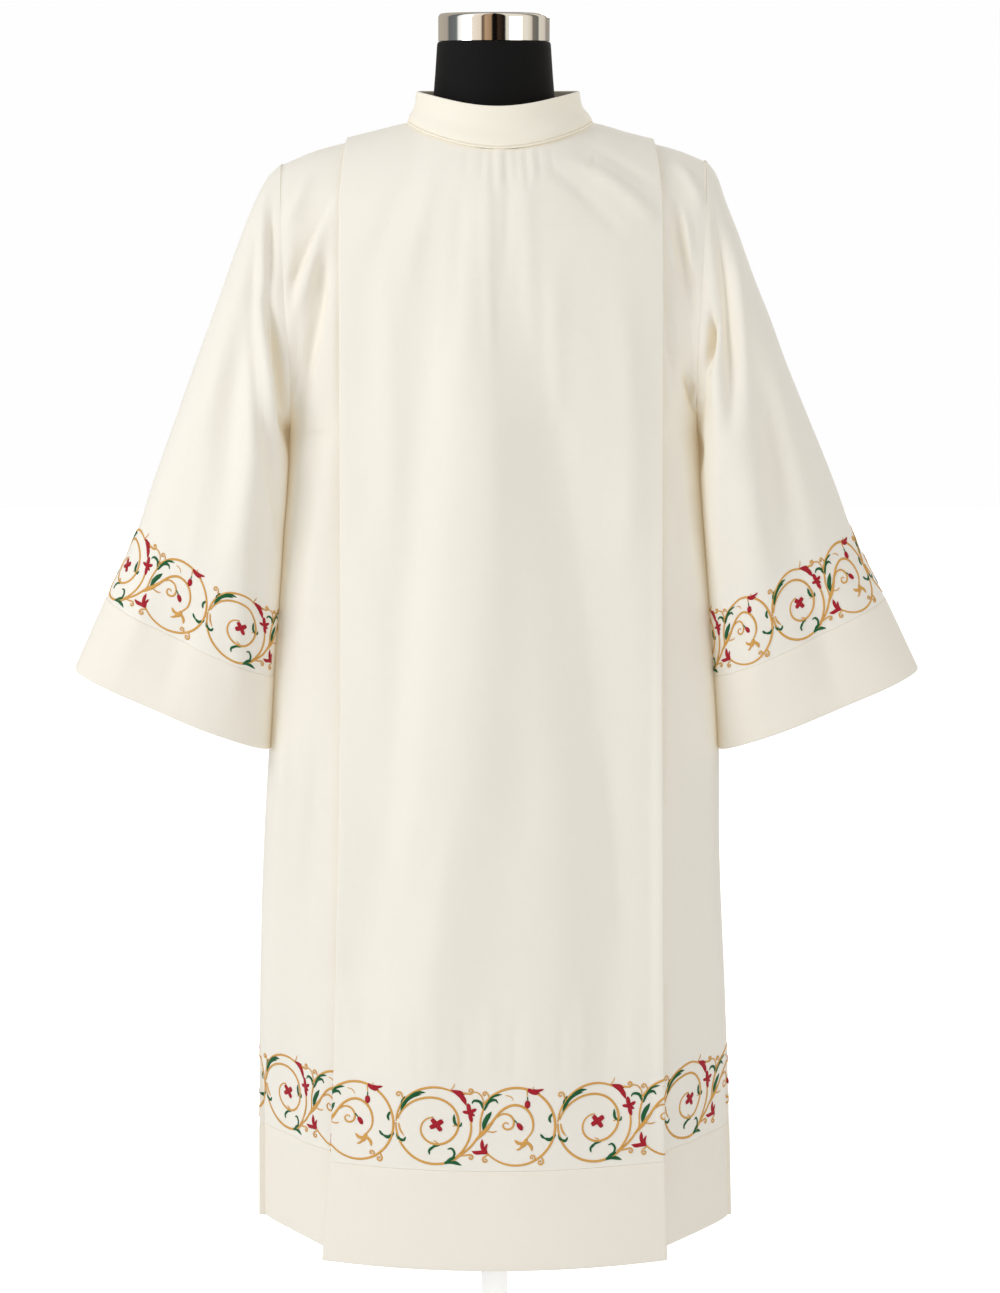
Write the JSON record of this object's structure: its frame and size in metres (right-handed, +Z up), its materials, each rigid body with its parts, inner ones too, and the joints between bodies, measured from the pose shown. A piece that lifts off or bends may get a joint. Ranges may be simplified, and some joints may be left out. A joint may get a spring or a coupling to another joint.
{
  "type": "surplice on a limbless dress form",
  "caption": "Cream knee-length surplice with stand collar, two pleats framing the front panel, open sleeves and embroidered borders, worn by a limbless dress form on a round stand.",
  "frame": {"origin": "middle of the underside of the stand's round base", "axes": "+Z up, the garment's front faces -Y, +X to the viewer's right"},
  "size_m": [0.8592, 0.3744, 1.56],
  "materials": {
    "cream_cloth": "smooth light wool blend, soft sheen",
    "band_cloth": "the same cloth, doubled",
    "collar_cloth": "the same cloth, doubled and stiffened",
    "black_jersey": "fine black knit cover",
    "chrome_cap": "polished",
    "white_stand": "white powder coat"
  },
  "bodies": {
    "root": {"front": "cream_cloth", "back": "cream_cloth", "sleeve_left": "cream_cloth", "sleeve_right": "cream_cloth", "hem_band_front": "band_cloth", "hem_band_back": "band_cloth", "cuff_band_left": "band_cloth", "cuff_band_right": "band_cloth", "neck_binding": "collar_cloth", "collar": "collar_cloth", "back_placket": "cream_cloth", "form_torso": "black_jersey", "form_neck": "black_jersey", "form_cap": "chrome_cap", "form_pole": "white_stand", "form_base": "white_stand"}
  },
  "joints": []
}
